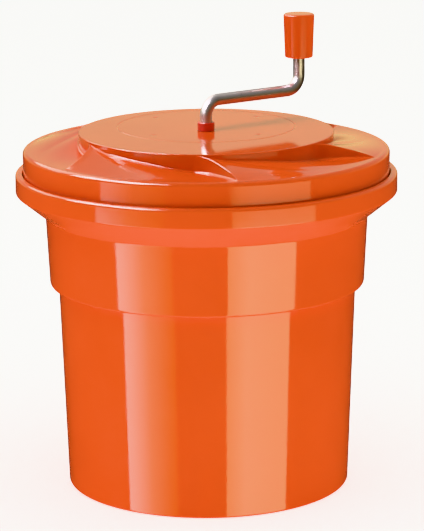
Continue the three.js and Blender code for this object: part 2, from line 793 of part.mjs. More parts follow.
function crankRod() {
  const section = new THREE.Shape().absarc(0, 0, rodRadius, 0, 2 * Math.PI);
  const settings = { steps: rodSteps, curveSegments: rodSides / 2, extrudePath: new RodLine() };
  const rod = new THREE.ExtrudeGeometry(section, { ...settings, bevelEnabled: false });
  const flatsTopZ = upperGearZ + gearWidth + endFloat / 2;
  const flatCut = (angle) =>
    spoke(rodFlats / 2, rodRadius, 4 * rodRadius, rodEndZ - cutPast, flatsTopZ, angle);
  const cuts = [
    flatCut(Math.PI / 2),
    flatCut(-Math.PI / 2),
    groove(gearClipZ),
    groove(knobClipZ).translate(crankRadius, 0, 0),
  ];
  const mesh = named("crank_rod", shaped([rod], cuts), stainless);
  mesh.rotation.z = crankAngle;
  return mesh;
}

function clip(name, clipZ) {
  const bore = rodRadius - grooveDepth + clipFitGap;
  const washer = ring(bore, rodRadius + clipSpread, clipZ, clipZ + clipThickness);
  return named(name, washer, stainless);
}

// ---- Knob, which turns on the end of the rod ----------------------------------------------------

function knob() {
  const top = knobZ + knobLength;
  const recessBottom = knobClipZ - endFloat;
  const recessRadius = rodRadius + clipSpread + runningGap;
  const bore = rodRadius + runningGap;
  const geometry = turned([
    [bore, knobZ],
    [knobLowerRadius, knobZ, 1.2],
    [knobTopRadius, top, 1.8],
    [0, top],
    [0, top - knobTopWall],
    [recessRadius, top - knobTopWall],
    [recessRadius, recessBottom],
    [bore, recessBottom],
  ]);
  return named("knob", geometry, glossyOrange);
}

// ---- Assembly -----------------------------------------------------------------------------------

function assemble() {
  const spinner = new THREE.Group();
  spinner.add(tub(), ...pivot(), pivotBush(), basket());
  spinner.add(lid(), crankBushing(), gearCover(), gearCoverSeal(), ...gearCoverScrews());
  spinner.add(layshaftPin(), outputBush());
  spinner.add(crankRod(), crankGear(), clip("crank_gear_clip", gearClipZ));
  spinner.add(compoundGear(), outputPinion(), drivePlate(), ...drivePlateFixings());

  const knobAxis = new THREE.Group();
  knobAxis.position.set(crankRadius * Math.cos(crankAngle), crankRadius * Math.sin(crankAngle), 0);
  knobAxis.add(knob(), clip("knob_clip", knobClipZ));
  spinner.add(knobAxis);
  return spinner;
}

export default assemble();
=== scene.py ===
import math

import bmesh
import bpy
from mathutils import Matrix, Vector


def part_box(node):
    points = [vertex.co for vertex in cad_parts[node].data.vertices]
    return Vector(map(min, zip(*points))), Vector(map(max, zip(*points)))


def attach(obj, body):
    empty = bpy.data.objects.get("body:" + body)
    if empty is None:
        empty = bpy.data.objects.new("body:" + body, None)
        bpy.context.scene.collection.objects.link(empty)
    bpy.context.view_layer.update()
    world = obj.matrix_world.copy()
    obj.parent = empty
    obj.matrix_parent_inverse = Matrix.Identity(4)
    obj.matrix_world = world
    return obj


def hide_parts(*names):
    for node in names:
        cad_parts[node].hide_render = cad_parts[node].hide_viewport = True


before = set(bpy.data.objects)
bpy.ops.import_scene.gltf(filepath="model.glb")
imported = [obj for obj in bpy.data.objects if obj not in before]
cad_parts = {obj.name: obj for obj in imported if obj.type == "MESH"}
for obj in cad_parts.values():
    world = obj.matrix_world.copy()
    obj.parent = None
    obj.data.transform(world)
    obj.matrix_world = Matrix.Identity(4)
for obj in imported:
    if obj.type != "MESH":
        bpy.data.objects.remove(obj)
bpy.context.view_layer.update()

up = Vector((0, 0, 1))


# where the fixed parts are
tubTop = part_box("tub")[1]
lidLow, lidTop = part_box("lid")
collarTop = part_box("crank_bushing")[1]
rodLow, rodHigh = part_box("crank_rod")
knobLow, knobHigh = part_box("knob")
knobAxis = (knobLow + knobHigh) / 2
crankTurn = math.atan2(knobAxis.y, knobAxis.x)
housingAxis = sum(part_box("gear_cover"), Vector()) / 2


# ---- helpers

def arcPoints(centre, radius, start, end, steps):
    angles = [start + (end - start) * k / steps for k in range(steps + 1)]
    return [(centre[0] + radius * math.cos(a), centre[1] + radius * math.sin(a)) for a in angles]


def roundedOutline(corners, arcSteps=6):
    # corners are (radius, height) or (radius, height, rounding)
    points = []
    for i, (r, z, *rounding) in enumerate(corners):
        corner = Vector((r, z))
        if not rounding:
            points.append((r, z))
            continue
        back = (Vector(corners[i - 1][:2]) - corner).normalized()
        on = (Vector(corners[(i + 1) % len(corners)][:2]) - corner).normalized()
        half = back.angle(on) / 2
        centre = corner + (back + on).normalized() * rounding[0] / math.sin(half)
        first = corner + back * rounding[0] / math.tan(half) - centre
        last = corner + on * rounding[0] / math.tan(half) - centre
        start = math.atan2(first.y, first.x)
        turn = math.remainder(math.atan2(last.y, last.x) - start, math.tau)
        points += arcPoints(centre, rounding[0], start, start + turn, arcSteps)
    return points


def spun(corners, steps=128, centre=(0, 0), arcSteps=6):
    # turns an outline about a vertical axis; an outline that starts and ends on the axis stays open
    bm = bmesh.new()
    points = roundedOutline(corners, arcSteps)
    verts = [bm.verts.new((centre[0] + r, centre[1], z)) for r, z in points]
    edges = [bm.edges.new(pair) for pair in zip(verts, verts[1:])]
    if points[0][0] > 0:
        edges.append(bm.edges.new((verts[-1], verts[0])))
    bmesh.ops.spin(bm, geom=verts + edges, cent=(*centre, 0), axis=up, dvec=(0, 0, 0),
                   angle=math.tau, steps=steps, use_merge=True, use_duplicate=False)
    bmesh.ops.remove_doubles(bm, verts=bm.verts[:], dist=1e-6)
    bmesh.ops.recalc_face_normals(bm, faces=bm.faces[:])
    return bm


def joined(*parts):
    # several closed shells in one mesh
    whole = bmesh.new()
    for part in parts:
        mesh = bpy.data.meshes.new("part")
        part.to_mesh(mesh)
        part.free()
        whole.from_mesh(mesh)
        bpy.data.meshes.remove(mesh)
    return whole


def turnedBy(bm, angle):
    bmesh.ops.rotate(bm, verts=bm.verts[:], cent=(0, 0, 0), matrix=Matrix.Rotation(angle, 3, "Z"))
    return bm


def movedBy(bm, x=0, y=0, z=0):
    bmesh.ops.translate(bm, verts=bm.verts[:], vec=(x, y, z))
    return bm


def hexed(bm, radius, flats, centre=(0, 0), low=-1.0, high=1.0):
    # turns the circles of one radius, between two heights, into hexagons with that size across flats
    for vert in bm.verts:
        x, y = vert.co.x - centre[0], vert.co.y - centre[1]
        if abs(math.hypot(x, y) - radius) > 1e-5 or not low < vert.co.z < high:
            continue
        angle = math.atan2(y, x)
        fromFlat = (angle + math.pi / 6) % (math.pi / 3) - math.pi / 6
        r = flats / 2 / math.cos(fromFlat)
        vert.co.x, vert.co.y = centre[0] + r * math.cos(angle), centre[1] + r * math.sin(angle)
    return bm


def threaded(radius, low, high, pitch):
    # the outline of a thread, from low to high
    turns = max(round(abs(high - low) / pitch), 1)
    step = (high - low) / turns
    points = [(radius - 0.6 * pitch * (half % 2), low + step * half / 2) for half in range(2 * turns + 1)]
    return points


def block(length, width, height, angle=0.0, start=0.0, bottom=0.0, taper=1.0, bevel=0.0004):
    # a bar that points outwards from the axis; taper is its outer end's height over its inner end's
    bm = bmesh.new()
    bmesh.ops.create_cube(bm, size=1)
    bmesh.ops.translate(bm, verts=bm.verts[:], vec=(0.5, 0, 0.5))
    for vert in bm.verts:
        if vert.co.x > 0.5:
            vert.co.z *= taper
    bmesh.ops.scale(bm, verts=bm.verts[:], vec=(length, width, height))
    bmesh.ops.bevel(bm, geom=bm.edges[:], offset=bevel, segments=2, affect="EDGES", profile=0.5, material=-1)
    movedBy(bm, x=start, z=bottom)
    return turnedBy(bm, angle)


def finishPiece(name, bm, material, body, nodes, sharpAngle=35):
    for face in bm.faces:
        face.smooth = True
    limit = math.radians(sharpAngle)
    for edge in bm.edges:
        edge.smooth = edge.is_manifold and edge.calc_face_angle(0) < limit
    mesh = bpy.data.meshes.new(name)
    bm.to_mesh(mesh)
    bm.free()
    piece = bpy.data.objects.new(name, mesh)
    bpy.context.scene.collection.objects.link(piece)
    mesh.materials.append(material)
    shading = piece.modifiers.new("even shading", "WEIGHTED_NORMAL")
    shading.keep_sharp = True
    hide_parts(*nodes)
    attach(piece, body)
    return piece


# ---- materials

class Surface:
    # a Principled material whose patterns read Object coordinates

    def __init__(self, name, **sockets):
        self.material = bpy.data.materials.new(name)
        self.material.use_nodes = True
        self.nodes = self.material.node_tree.nodes
        self.links = self.material.node_tree.links
        self.shader = self.nodes["Principled BSDF"]
        self.coords = self.add("ShaderNodeTexCoord").outputs["Object"]
        for socket, value in sockets.items():
            self.shader.inputs[socket.replace("_", " ")].default_value = value

    def add(self, kind, **inputs):
        node = self.nodes.new(kind)
        for socket, value in inputs.items():
            node.inputs[socket.replace("_", " ")].default_value = value
        return node

    def noise(self, scale, detail=2.0, roughness=0.5):
        node = self.add("ShaderNodeTexNoise", Scale=scale, Detail=detail, Roughness=roughness)
        self.links.new(self.coords, node.inputs["Vector"])
        return node.outputs["Fac"]

    def ramp(self, fac, *stops):
        node = self.add("ShaderNodeValToRGB")
        elements = node.color_ramp.elements
        while len(elements) < len(stops):
            elements.new(0.5)
        for element, (position, colour) in zip(elements, stops):
            element.position = position
            element.color = (*colour, 1) if isinstance(colour, tuple) else (colour, colour, colour, 1)
        self.links.new(fac, node.inputs["Fac"])
        return node.outputs["Color"]

    def colour(self, fac, *stops):
        self.links.new(self.ramp(fac, *stops), self.shader.inputs["Base Color"])

    def roughness(self, fac, low, high, start=0.3, end=0.7):
        node = self.add("ShaderNodeMapRange", To_Min=low, To_Max=high, From_Min=start, From_Max=end)
        self.links.new(fac, node.inputs["Value"])
        self.links.new(node.outputs["Result"], self.shader.inputs["Roughness"])

    def bumps(self, *layers):
        # each layer is (height field, strength, distance)
        before = None
        for height, strength, distance in layers:
            node = self.add("ShaderNodeBump", Strength=strength, Distance=distance)
            self.links.new(height, node.inputs["Height"])
            if before:
                self.links.new(before, node.inputs["Normal"])
            before = node.outputs["Normal"]
        self.links.new(before, self.shader.inputs["Normal"])


def glossyPlastic(name, deep, light, rough):
    surface = Surface(name, IOR=1.5, Specular_IOR_Level=0.5)
    surface.colour(surface.noise(9, 3), (0.35, deep), (0.65, light))
    surface.roughness(surface.noise(70, 4, 0.6), rough, rough + 0.05)
    peel = surface.noise(260, 2)
    grain = surface.noise(2600, 1)
    surface.bumps((peel, 0.05, 0.0004), (grain, 0.03, 0.00005))
    return surface.material


def satinPlastic(name, deep, light, rough):
    surface = Surface(name, IOR=1.5)
    surface.colour(surface.noise(14, 3), (0.35, deep), (0.65, light))
    surface.roughness(surface.noise(90, 4, 0.6), rough - 0.05, rough + 0.08)
    surface.bumps((surface.noise(500, 3), 0.12, 0.0002), (surface.noise(3000, 1), 0.1, 0.00005))
    return surface.material


def satinSteel(name):
    # a satin, tumbled finish
    surface = Surface(name, Metallic=1.0)
    surface.colour(surface.noise(40, 3), (0.3, (0.58, 0.52, 0.56)), (0.7, (0.67, 0.61, 0.65)))
    surface.roughness(surface.noise(160, 4, 0.6), 0.27, 0.36)
    surface.bumps((surface.noise(900, 3), 0.06, 0.00005), (surface.noise(4000, 2), 0.05, 0.00002))
    return surface.material


def mattRubber(name):
    surface = Surface(name)
    surface.colour(surface.noise(60, 3), (0.3, (0.018, 0.018, 0.018)), (0.7, (0.035, 0.034, 0.033)))
    surface.roughness(surface.noise(200, 4), 0.62, 0.8)
    surface.bumps((surface.noise(1500, 3), 0.25, 0.0001))
    return surface.material


orangeShell = glossyPlastic("orangeShell", (0.72, 0.105, 0.028), (0.76, 0.116, 0.032), 0.05)
orangeCollar = glossyPlastic("orangeCollar", (0.64, 0.050, 0.030), (0.70, 0.060, 0.034), 0.28)
naturalWhite = satinPlastic("naturalWhite", (0.80, 0.80, 0.76), (0.86, 0.86, 0.83), 0.4)
gearWhite = satinPlastic("gearWhite", (0.72, 0.70, 0.63), (0.80, 0.78, 0.72), 0.36)
stainless = satinSteel("stainless")
sealRubber = mattRubber("sealRubber")
for node, material in (("crank_gear", gearWhite), ("compound_gear", gearWhite), ("output_pinion", gearWhite)):
    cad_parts[node].data.materials.clear()
    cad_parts[node].data.materials.append(material)
print("materials done")


# ---- tub

tubSizes = {
    "wall": 0.003,
    "floor": 0.010,          # its upper side
    "panelRise": 0.007,
    "footRing": 0.015,
    "baseRadius": 0.1231,
    "lowerTop": 0.1293,
    "stepHeight": 0.178,
    "upperBase": 0.1367,
    "upperTop": 0.1397,
    "flareHeight": 0.239,
    "bandHeight": 0.2595,
    "lip": 0.0061,
    "lidSeat": 0.261,
    "seatWidth": 0.0049,
    "bossRadius": 0.012,
    "bossHeight": 0.022,
    "pinHole": 0.0043,
}


def makeTub(s):
    rim, top = tubTop.x, tubTop.z
    mouth = rim - s["lip"]
    seatInner = mouth - s["seatWidth"]
    slope = (s["bandHeight"] - s["flareHeight"]) / (rim - s["upperTop"])
    slant = s["wall"] * math.hypot(1, slope)
    footInner = s["baseRadius"] - s["footRing"]
    outline = [
        (s["pinHole"], s["panelRise"]),
        (footInner - 0.004, s["panelRise"], 0.003),
        (footInner, 0.0006, 0.0015),
        (footInner + 0.002, 0),
        (s["baseRadius"], 0, 0.0022),
        (s["lowerTop"], s["stepHeight"], 0.0008),
        (s["upperBase"], s["stepHeight"], 0.0025),
        (s["upperTop"], s["flareHeight"], 0.002),
        (rim, s["bandHeight"], 0.0016),
        (rim, top, 0.0026),
        (mouth, top, 0.0008),
        (mouth, s["lidSeat"], 0.0006),
        (seatInner, s["lidSeat"], 0.0012),
        (seatInner, s["flareHeight"] + (seatInner - s["upperTop"]) * slope + slant, 0.0015),
        (s["upperTop"] - s["wall"], s["flareHeight"] + slant / 2, 0.004),
        (s["upperBase"] - s["wall"], s["stepHeight"] + s["wall"], 0.003),
        (s["lowerTop"] - s["wall"], s["stepHeight"] + s["wall"], 0.0032),
        (s["baseRadius"] - s["wall"], s["floor"], 0.005),
        (s["bossRadius"], s["floor"], 0.002),
        (s["bossRadius"], s["bossHeight"], 0.0008),
        (s["pinHole"], s["bossHeight"]),
    ]
    return finishPiece("tubShell", spun(outline, 240), orangeShell, "tub", ["tub"])


makeTub(tubSizes)
print("tub done")


# ---- lid

lidSizes = {
    "wall": 0.0025,
    "skirt": 0.1583,
    "shoulder": 0.296,       # the flat ring outside the vanes
    "shoulderRound": 0.0036,
    "vaneOuter": 0.152,
    "disc": 0.1101,
    "discEdge": 0.0008,
    "bore": 0.0065,
    "boss": 0.0109,
    "bossDepth": 0.004,
    "housing": 0.077,
    "housingWall": 0.003,
    "housingFoot": 0.2837,
    "vanes": 6,
    "firstRidge": 29.2,      # degrees
    "sweep": 10.3,           # degrees that a ridge turns on its way out
    "plunge": 0.0085,        # radius with which a ridge leaves the disc, in plan
    "depth": 0.015,          # of a scoop, below the disc
    "quickFall": 0.0025,     # beside the ridge's inner end
    "fallPerDegree": 0.000283,
    "creaseStart": 12.5,     # degrees from the ridge, at the disc
    "creaseTurn": 25.0,      # degrees more at the outer end
    "cornerRound": 0.0018,   # between a scoop and the disc's side
    "footRound": 0.003,      # between a scoop and the next ridge's wall
    "ridgeRound": 0.0012,
    "wallDraft": 0.0012,     # how far a ridge's wall leans
    "lineRadius": 0.0772,    # the fine line round the top
    "lineWidth": 0.0009,
    "lineDepth": 0.0003,
    "sinkSpreadX": 0.0447,
    "sinkSpreadY": 0.0427,
    "sinkRadius": 0.0032,
    "sinkDepth": 0.0005,
    "sinkStart": 0.056,      # the rings that carry the sink marks
    "sinkEnd": 0.069,
    "sinkStep": 0.0008,
}


def smoothStep(x):
    x = min(max(x, 0), 1)
    return x * x * (3 - 2 * x)


def mix(a, b, t):
    return a + (b - a) * t


def fallAt(degrees, t, s):
    # how far the vane's surface is below the disc, before it runs out to the shoulder
    crease = s["creaseStart"] + s["creaseTurn"] * t ** 0.95
    onSlope = min(degrees, crease)
    fall = s["quickFall"] * (1 - math.exp(-onSlope / 1.2)) + s["fallPerDegree"] * onSlope
    if degrees > crease:
        u = (degrees - crease) / (360 / s["vanes"] - crease)
        fall = mix(fall, s["depth"], 0.5 * u + 0.5 * smoothStep(u ** 1.3))
    return fall


def vaneColumns(s):
    # where each column of the mesh crosses a vane: ("ridge", share) or ("vane", degrees)
    pitch = 360 / s["vanes"]
    ridge = [("ridge", k / 14) for k in range(15)]
    slope = [("vane", d) for d in (2.2, 3.5, 5, 7, 9, 11, 13)]
    floor = [("vane", 15 + (pitch - 3 - 15) * k / 22) for k in range(23)]
    return ridge + slope + floor


def ridgeProfile(share, height, s):
    # a ridge's section from the foot of its wall to its top: (distance along the arc, height)
    size = 0.35 + 0.65 * min(2 * height / s["depth"], 1)   # the wall gets thinner as it runs out
    foot, crown, lean, full = s["footRound"], s["ridgeRound"], s["wallDraft"], s["depth"]
    if share < 0.4:
        a = share / 0.4 * math.pi / 2
        offset, rise = -(foot + lean) + foot * math.sin(a), foot * (1 - math.cos(a))
    elif share < 0.55:
        u = (share - 0.4) / 0.15
        offset, rise = lean * (u - 1), mix(foot, full - crown, u)
    else:
        a = (share - 0.55) / 0.45 * math.pi / 2
        offset, rise = crown * (1 - math.cos(a)), full - crown + crown * math.sin(a)
    return offset * size, rise / full * height


def vanePoint(vane, column, t, s):
    disc, outer = s["disc"], s["vaneOuter"]
    r = mix(disc, outer, t)
    pitch = 360 / s["vanes"]
    across = max(1 - (r - disc) / s["plunge"], 0)
    lag = s["plunge"] * (1 - math.sqrt(1 - across * across)) / r
    ridgeAngle = s["firstRidge"] + pitch * vane + s["sweep"] * (1 - (1 - t) ** 1.8) - math.degrees(lag)
    floorZ = mix(lidTop.z - s["depth"], s["shoulder"], t)
    kind, value = column
    if kind == "vane":
        z = mix(lidTop.z - fallAt(value, t, s), s["shoulder"], t)
        return r, math.radians(ridgeAngle + value), z
    ridgeZ = mix(lidTop.z - s["discEdge"], s["shoulder"], t)
    offset, rise = ridgeProfile(value, ridgeZ - floorZ, s)
    return r, math.radians(ridgeAngle) + offset / r, floorZ + rise


def lidRings(s):
    # the rings of the shell's section, from the bore across the top, round the skirt and back below
    top, under = lidTop.z, lidTop.z - s["wall"]
    boss = under - s["bossDepth"]
    disc, edge = s["disc"], s["discEdge"]
    skirt, shoulder, low = s["skirt"], s["shoulder"], lidLow.z
    inner = skirt - s["wall"]
    underEdge = disc - s["wall"]
    home, gear = (0, 0), (housingAxis.x, housingAxis.y)
    line, half = s["lineRadius"], s["lineWidth"] / 2
    rings = [("flat", home, s["bore"], top - 0.0003), ("flat", home, s["bore"] + 0.0003, top)]
    rings += [("morph", k / 12, (home, 0.0085), (gear, s["sinkStart"]), top) for k in range(12)]
    sinkRings = round((s["sinkEnd"] - s["sinkStart"]) / s["sinkStep"])
    rings += [("flat", gear, s["sinkStart"] + k * s["sinkStep"], top) for k in range(sinkRings)]
    rings += [("flat", gear, line + half * k, top - s["lineDepth"] * (abs(k) < 1)) for k in (-2, -1, 0, 1, 2)]
    rings += [("morph", k / 6, (gear, line + 3 * half), (home, disc - edge - 0.001), top) for k in range(7)]
    for r, z in arcPoints((disc - edge, top - edge), edge, math.pi / 2, 0.15, 5):
        rings.append(("edge", r, z))
    rings += [("side", k / 3) for k in range(4)]
    rings += [("corner", k / 5) for k in range(1, 6)]
    rings += [("vane", (k / 28) ** 1.3, 0) for k in range(1, 29)]
    corner = (skirt - s["shoulderRound"], shoulder - s["shoulderRound"])
    rings.append(("flat", home, mix(s["vaneOuter"], corner[0], 0.5), shoulder))
    for r, z in arcPoints(corner, s["shoulderRound"], math.pi / 2, 0.06, 8):
        rings.append(("flat", home, r, z))
    rings += [("flat", home, skirt - 0.0002, mix(corner[1], low, 0.3)), ("flat", home, skirt, low + 0.001)]
    rings += [("flat", home, skirt - 0.0004, low), ("flat", home, inner + 0.0004, low)]
    rings += [("flat", home, inner, low + 0.0004), ("flat", home, inner, shoulder - s["wall"] - 0.003)]
    for r, z in arcPoints((inner - 0.003, shoulder - s["wall"] - 0.003), 0.003, 0, math.pi / 2, 4):
        rings.append(("flat", home, r, z))
    rings += [("vane", 1 - k / 10, s["wall"]) for k in range(11)]
    rings.append(("flat", home, underEdge, under))
    housing, thick, foot = s["housing"], s["housingWall"], s["housingFoot"]
    rings += [("flat", gear, housing + 0.001, under), ("flat", gear, housing, under - 0.001)]
    rings += [("flat", gear, housing, foot + 0.0004), ("flat", gear, housing - 0.0004, foot)]
    rings += [("flat", gear, housing - thick + 0.0004, foot), ("flat", gear, housing - thick, foot + 0.0004)]
    rings += [("flat", gear, housing - thick, under - 0.001), ("flat", gear, housing - thick - 0.001, under)]
    fromHousing, toBoss = (gear, housing - thick - 0.002), (home, s["boss"] + 0.001)
    rings += [("morph", k / 4, fromHousing, toBoss, under) for k in range(5)]
    rings += [("flat", home, s["boss"], under - 0.001), ("flat", home, s["boss"], boss + 0.0004)]
    rings += [("flat", home, s["boss"] - 0.0004, boss), ("flat", home, s["bore"], boss)]
    return rings


def lidPoint(ring, vane, column, s):
    kind = ring[0]
    r, angle, z = vanePoint(vane, column, 0, s)
    round_ = Vector((math.cos(angle), math.sin(angle), 0))
    if kind == "flat":
        _, centre, radius, height = ring
        if radius > s["vaneOuter"]:
            angle = vanePoint(vane, column, 1, s)[1]
            round_ = Vector((math.cos(angle), math.sin(angle), 0))
        return Vector((*centre, height)) + round_ * radius
    if kind == "morph":
        _, t, (fromCentre, fromRadius), (toCentre, toRadius), height = ring
        start = Vector((*fromCentre, height)) + round_ * fromRadius
        end = Vector((*toCentre, height)) + round_ * toRadius
        return start.lerp(end, t)
    if kind == "edge":
        return round_ * ring[1] + up * ring[2]
    sideTop = lidTop.z - s["discEdge"] + 0.0001
    corner = min(s["cornerRound"], max(sideTop - z, 0) * 0.6 + 0.00005)
    reach = s["cornerRound"] / (s["vaneOuter"] - s["disc"])
    if kind == "side":
        return round_ * s["disc"] + up * mix(sideTop, z + corner, ring[1])
    if kind == "corner":
        a = ring[1] * math.pi / 2
        r, angle, z = vanePoint(vane, column, reach * (1 - math.cos(a)), s)
        return Vector((r * math.cos(angle), r * math.sin(angle), z + corner * (1 - math.sin(a))))
    _, t, below = ring
    t = reach + (1 - reach) * t if not below else t
    r, angle, z = vanePoint(vane, column, t, s)
    if below:
        r -= below * (1 - t)
        angle += below / r * smoothStep(1.5 * (1 - t))
    return Vector((r * math.cos(angle), r * math.sin(angle), z - below))


def makeLid(s):
    rings = lidRings(s)
    columns = [(vane, column) for vane in range(s["vanes"]) for column in vaneColumns(s)]
    bm = bmesh.new()
    bmesh.ops.create_grid(bm, x_segments=len(columns), y_segments=len(rings), size=1)
    for vert in bm.verts:
        i = round((vert.co.x + 1) / 2 * len(columns)) % len(columns)
        j = round((vert.co.y + 1) / 2 * len(rings)) % len(rings)
        vert.co = lidPoint(rings[j], *columns[i], s)
    sinks = [Vector((x * s["sinkSpreadX"], housingAxis.y + y * s["sinkSpreadY"], 0))
             for x in (-1, 1) for y in (-1, 1)]
    for vert in bm.verts:
        if vert.co.z > lidTop.z - 1e-5:
            near = min((vert.co - sink).xy.length for sink in sinks) / s["sinkRadius"]
            vert.co.z -= s["sinkDepth"] * (1 - smoothStep(near))
    bmesh.ops.remove_doubles(bm, verts=bm.verts[:], dist=1e-7)
    bmesh.ops.recalc_face_normals(bm, faces=bm.faces[:])
    return finishPiece("lidShell", bm, orangeShell, "lid", ["lid"])


makeLid(lidSizes)
print("lid done")


# ---- crank

crankSizes = {
    "rod": 0.0052,
    "bend": 0.013,
    "sides": 48,
    "bendSteps": 20,
    "armRise": 0.0258,       # the arm's middle, above the disc
    "flat": 0.0014,          # how deep the two flats are
    "flatTop": 0.30335,
    "groove": 0.0009,
    "clip": 0.0012,
    "clipGap": 0.00015,
    "gearClip": 0.2930,
    "knobClip": 0.3931,
    "clipReach": 0.0016,
    "collarWall": 0.00195,
    "sleeveWall": 0.00085,
    "bushGap": 0.00015,
    "sleeveFoot": 0.3037,
    "collarFoot": 0.0003,
}


def rodSection(angle, radius, flats=None):
    y = radius * math.sin(angle)
    if flats:
        y = max(-flats, min(flats, y))
    return radius * math.cos(angle), y


def makeCrankRod(s):
    radius, reach = s["rod"], math.hypot(knobAxis.x, knobAxis.y)
    armZ = lidTop.z + s["armRise"]
    flats = radius - s["flat"]
    clipEdge = s["clipGap"]
    gearGroove = (s["gearClip"] - clipEdge, s["gearClip"] + s["clip"] + clipEdge)
    knobGroove = (s["knobClip"] - clipEdge, s["knobClip"] + s["clip"] + clipEdge)
    thin = radius - s["groove"]
    chamfer = 0.0005
    bm = bmesh.new()
    bmesh.ops.create_circle(bm, segments=s["sides"], radius=radius, cap_ends=True)
    angles = {vert: math.atan2(vert.co.y, vert.co.x) for vert in bm.verts}
    ring = bm.edges[:]
    order = bm.verts[:]

    def place(verts, r, z, flat, centreX):
        for vert, angle in zip(verts, [angles[first] for first in order]):
            x, y = rodSection(angle, r, flat)
            vert.co = (centreX + x, y, z)

    def addRing(edges, verts, r, z, flat=None, centreX=0.0):
        made = bmesh.ops.extrude_edge_only(bm, edges=edges)["geom"]
        newEdges = [item for item in made if isinstance(item, bmesh.types.BMEdge)]
        newVerts = [item for item in made if isinstance(item, bmesh.types.BMVert)]
        byPlace = {tuple(round(c, 7) for c in vert.co): vert for vert in newVerts}
        matched = [byPlace[tuple(round(c, 7) for c in vert.co)] for vert in verts]
        rim = [edge for edge in newEdges if all(end in newVerts for end in edge.verts)]
        place(matched, r, z, flat, centreX)
        return rim, matched

    verts = order
    place(verts, radius - chamfer, rodLow.z, flats, 0)
    lower = [(radius, rodLow.z + 0.0002, flats), (radius, gearGroove[0], flats)]
    lower += [(thin, gearGroove[0] + 1e-6, flats), (thin, gearGroove[1], flats)]
    lower += [(radius, gearGroove[1] + 1e-6, flats), (radius, s["flatTop"], flats)]
    lower += [(radius, s["flatTop"] + 1e-6, None), (radius, armZ - s["bend"], None)]
    for r, z, flat in lower:
        ring, verts = addRing(ring, verts, r, z, flat)
    for centre, axis, rise in (((s["bend"], 0, armZ - s["bend"]), (0, 1, 0), True),
                               ((reach - s["bend"], 0, armZ + s["bend"]), (0, -1, 0), False)):
        if not rise:
            made = bmesh.ops.extrude_edge_only(bm, edges=ring)["geom"]
            ends = [item for item in made if isinstance(item, bmesh.types.BMVert)]
            bmesh.ops.translate(bm, verts=ends, vec=(reach - 2 * s["bend"], 0, 0))
            ring = [item for item in made if isinstance(item, bmesh.types.BMEdge)
                    and all(end in ends for end in item.verts)]
        swept = bmesh.ops.spin(bm, geom=ring, cent=centre, axis=axis, dvec=(0, 0, 0),
                               angle=math.pi / 2, steps=s["bendSteps"])["geom_last"]
        ring = [item for item in swept if isinstance(item, bmesh.types.BMEdge)]
    topVerts = list({end for edge in ring for end in edge.verts})
    topVerts.sort(key=lambda vert: math.atan2(vert.co.y, vert.co.x - reach) % math.tau)
    order = sorted(order, key=lambda vert: angles[vert] % math.tau)
    verts = topVerts
    upper = [(radius, knobGroove[0]), (thin, knobGroove[0] + 1e-6), (thin, knobGroove[1])]
    upper += [(radius, knobGroove[1] + 1e-6), (radius, rodHigh.z - chamfer), (radius - chamfer, rodHigh.z)]
    for r, z in upper:
        ring, verts = addRing(ring, verts, r, z, None, reach)
    bmesh.ops.edgeloop_fill(bm, edges=ring)
    bmesh.ops.recalc_face_normals(bm, faces=bm.faces[:])
    turnedBy(bm, crankTurn)
    return finishPiece("crankRod", bm, stainless, "crank", ["crank_rod"])


def makeBushing(s):
    bore = s["rod"] + s["bushGap"]
    foot = lidTop.z + s["collarFoot"]
    outline = [
        (bore, s["sleeveFoot"]),
        (bore + s["sleeveWall"], s["sleeveFoot"]),
        (bore + s["sleeveWall"], foot),
        (bore + s["collarWall"], foot, 0.0003),
        (bore + s["collarWall"], collarTop.z, 0.0007),
        (bore, collarTop.z, 0.0002),
    ]
    return finishPiece("crankBushing", spun(outline, 96), orangeCollar, "lid",
                       ["crank_bushing"])


def makeClip(name, node, centre, z, s):
    bore = s["rod"] - s["groove"] + s["clipGap"]
    outline = [
        (bore, z),
        (s["rod"] + s["clipReach"], z, 0.0002),
        (s["rod"] + s["clipReach"], z + s["clip"], 0.0002),
        (bore, z + s["clip"]),
    ]
    return finishPiece(name, spun(outline, 48, centre, 2), stainless, "crank", [node])


knobSizes = {
    "lower": 0.0122,
    "upper": 0.0136,
    "topWall": 0.006,
    "bore": 0.0055,
    "recess": 0.0071,
    "recessFoot": 0.3924,
}


def makeKnob(s):
    low, high = knobLow.z, knobHigh.z
    outline = [
        (0, high - s["topWall"]),
        (s["recess"], high - s["topWall"]),
        (s["recess"], s["recessFoot"]),
        (s["bore"], s["recessFoot"]),
        (s["bore"], low, 0.0005),
        (s["lower"], low, 0.0012),
        (s["upper"], high, 0.0018),
        (0, high),
    ]
    bm = spun(outline, 96, (knobAxis.x, knobAxis.y), 8)
    return finishPiece("knobGrip", bm, orangeShell, "knob", ["knob"])


makeCrankRod(crankSizes)
makeBushing(crankSizes)
makeKnob(knobSizes)
makeClip("gearClip", "crank_gear_clip", (0, 0), crankSizes["gearClip"], crankSizes)
makeClip("knobClip", "knob_clip", (knobAxis.x, knobAxis.y), crankSizes["knobClip"], crankSizes)
print("crank done")


# ---- basket

basketSizes = {
    "wall": 0.0024,
    "steps": 180,            # round the basket; a slot is one step wide and there is one in three
    "slotEvery": 3,
    "hub": 0.015,
    "hubTop": 0.0497,
    "hubFoot": 0.0283,
    "floor": 0.032,
    "bottom": 0.1121,
    "top": 0.1176,
    "rim": 0.1212,
    "rimFoot": 0.2475,
    "notchFoot": 0.252,
    "rowStart": 0.046,
    "rows": 3,
    "rowHeight": 0.058,
    "rowGap": 0.008,
    "floorRings": ((0.030, 0.050), (0.054, 0.072), (0.076, 0.102)),
    "notches": 6,
    "notchTurn": 9.0,        # degrees
    "notchSteps": 3,
    "socket": 0.0186,        # across the flats
}


